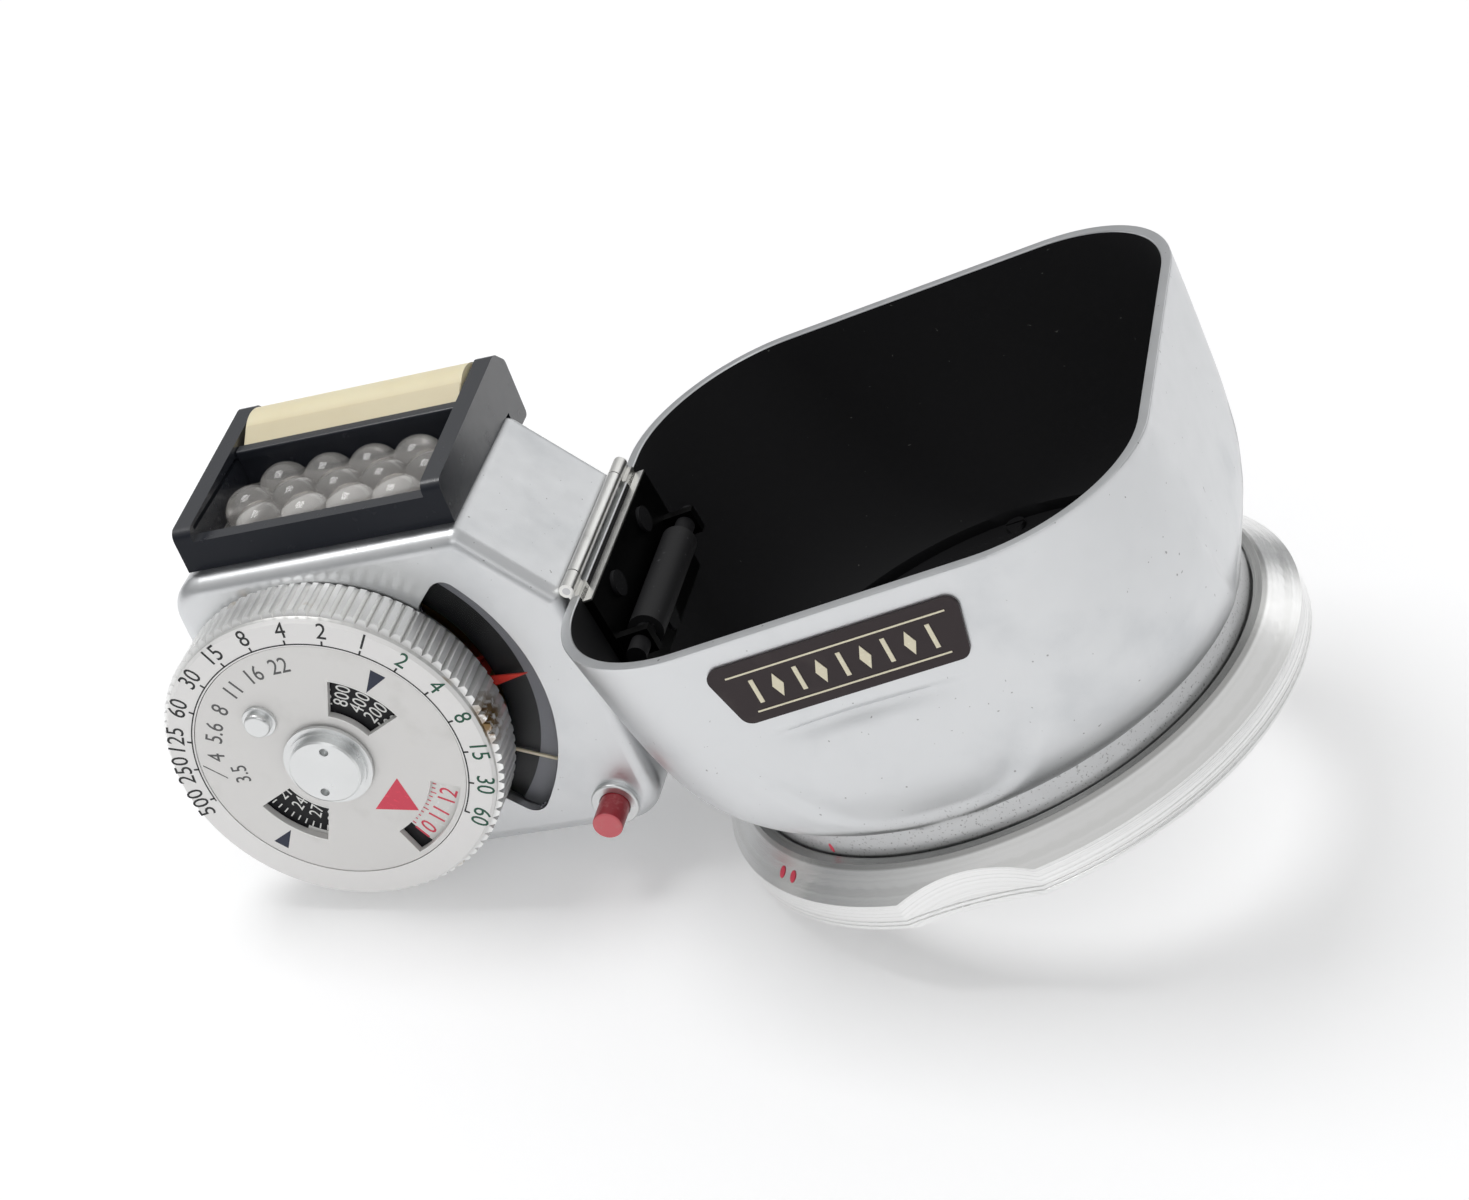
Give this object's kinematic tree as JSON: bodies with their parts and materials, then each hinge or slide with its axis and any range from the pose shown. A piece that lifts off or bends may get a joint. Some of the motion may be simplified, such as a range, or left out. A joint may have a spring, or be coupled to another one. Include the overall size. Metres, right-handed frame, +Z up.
{
  "type": "light meter",
  "caption": "Selenium exposure meter hinged to a square lens hood with a turning bayonet ring, calculator dial, match pointer, release button and roller diffuser.",
  "frame": {"origin": "centre of the bayonet bore at the ring's rear face", "axes": "+Z up from the table that the part rests on; the dial faces -Y; the hood's mouth opens towards +Z and -X; +X runs away from the meter"},
  "size_m": [0.0832, 0.045, 0.0395],
  "materials": {
    "black_enamel": "gloss black",
    "black_metal": "matt black",
    "black_rubber": "matt",
    "brass": "turned",
    "copper": "enamelled wire",
    "dial_metal": "matt silver with knurled edge",
    "disc_metal": "matt silver",
    "film_scale": "matt black with white numerals",
    "hinge_metal": "satin",
    "hood_metal": "satin outside, matt black inside",
    "hub_metal": "turned",
    "ivory_core": "satin",
    "lens_clear": "clear moulded",
    "magnet": "ground",
    "needle_paint": "matt",
    "opal": "ivory, translucent",
    "plate_dark": "dark brown enamel",
    "red_paint": "matt",
    "red_plastic": "semi-gloss",
    "satin_metal": "satin chrome over fine-blasted aluminium",
    "scale_black": "matt black with grey band",
    "selenium": "semi-gloss",
    "spring_steel": "plain",
    "steel": "plain",
    "turned_metal": "bright turned",
    "window_clear": "clear"
  },
  "bodies": {
    "hood": {"hood_shell": "hood_metal", "neck_tube": "black_metal", "neck_screws": "steel", "ring_retainer": "black_metal", "nameplate": "plate_dark", "cross_bar": "black_metal", "bar_sleeve": "black_rubber", "hood_hinge_leaf": "hinge_metal", "hood_leaf_rivets": "black_metal", "hinge_pin": "steel"},
    "bayonet": {"bayonet_ring": "turned_metal"},
    "meter": {"meter_hinge_leaf": "hinge_metal", "meter_leaf_screws": "steel", "top_case": "satin_metal", "back_cover": "satin_metal", "cover_screws": "steel", "cell_frame": "black_enamel", "honeycomb_lens": "lens_clear", "selenium_cell": "selenium", "cell_contacts": "brass", "scale_window": "window_clear", "scale_plate": "scale_black", "movement_plate": "brass", "movement_screws": "steel", "idler_pin": "steel", "dial_post": "steel", "dial_spacer": "brass", "film_speed_plate": "film_scale", "friction_washer": "spring_steel", "hub_nut": "hub_metal", "magnet_core": "magnet", "yoke_ring": "magnet", "hairsprings": "spring_steel", "bridges": "brass", "button_collar": "hub_metal", "button_spring": "spring_steel", "button_shelf": "brass"},
    "dial": {"dial_ring": "dial_metal", "drive_pinion": "brass"},
    "idler": {"idler_gear": "brass"},
    "follower": {"pointer_gear": "brass", "red_pointer": "red_paint"},
    "speed": {"speed_disc": "disc_metal", "setting_pin": "hub_metal"},
    "movement": {"moving_coil": "copper", "coil_staff": "steel", "needle": "needle_paint"},
    "button": {"red_button": "red_plastic"},
    "roller": {"blind_roller": "ivory_core", "opal_blind": "opal"},
    "pull_bar": {"blind_bar": "black_enamel"}
  },
  "joints": [
    {"name": "meter_fold", "type": "hinge", "parent": "hood", "child": "meter", "pos_m": [-0.02982, 0, 0.01778], "axis": [0, 1, 0], "range_deg": [0, 160]},
    {"name": "bayonet_turn", "type": "hinge", "parent": "hood", "child": "bayonet", "pos_m": [0, 0, 0], "axis": [-0.3321, 0, 0.9433], "range_deg": [0, 35]},
    {"name": "dial_turn", "type": "hinge", "parent": "meter", "child": "dial", "pos_m": [-0.04868, 0, 0.00656], "axis": [0, -1, 0], "range_deg": [-110, 90]},
    {"name": "idler_turn", "type": "hinge", "parent": "meter", "child": "idler", "pos_m": [-0.04759, 0, 0.00066], "axis": [0, -1, 0], "range_deg": [-65, 75]},
    {"name": "follower_turn", "type": "hinge", "parent": "meter", "child": "follower", "pos_m": [-0.04868, 0, 0.00656], "axis": [0, -1, 0], "range_deg": [-45, 45]},
    {"name": "film_speed_set", "type": "hinge", "parent": "meter", "child": "speed", "pos_m": [-0.04868, 0, 0.00656], "axis": [0, -1, 0], "range_deg": [-60, 60]},
    {"name": "needle_swing", "type": "hinge", "parent": "meter", "child": "movement", "pos_m": [-0.04868, 0, 0.00656], "axis": [0, -1, 0], "range_deg": [-12, 58], "stiffness_Nm_per_rad": 0.000001},
    {"name": "button_press", "type": "slide", "parent": "meter", "child": "button", "axis": [0, 1, 0], "range_m": [0, 0.0015], "stiffness_N_per_m": 150},
    {"name": "blind_pull", "type": "slide", "parent": "meter", "child": "pull_bar", "axis": [0, -1, 0], "range_m": [0, 0.0092]},
    {"name": "roller_turn", "type": "hinge", "parent": "meter", "child": "roller", "pos_m": [-0.04848, 0.0074, 0.0221], "axis": [0.9833, 0, 0.1821], "range_deg": [0, 170]}
  ],
  "couplings": [
    {"joint": "idler_turn", "follows": "dial_turn", "ratio": -0.57895},
    {"joint": "follower_turn", "follows": "dial_turn", "ratio": 0.33518},
    {"joint": "roller_turn", "follows": "blind_pull", "rad_per_m": 303.03}
  ]
}
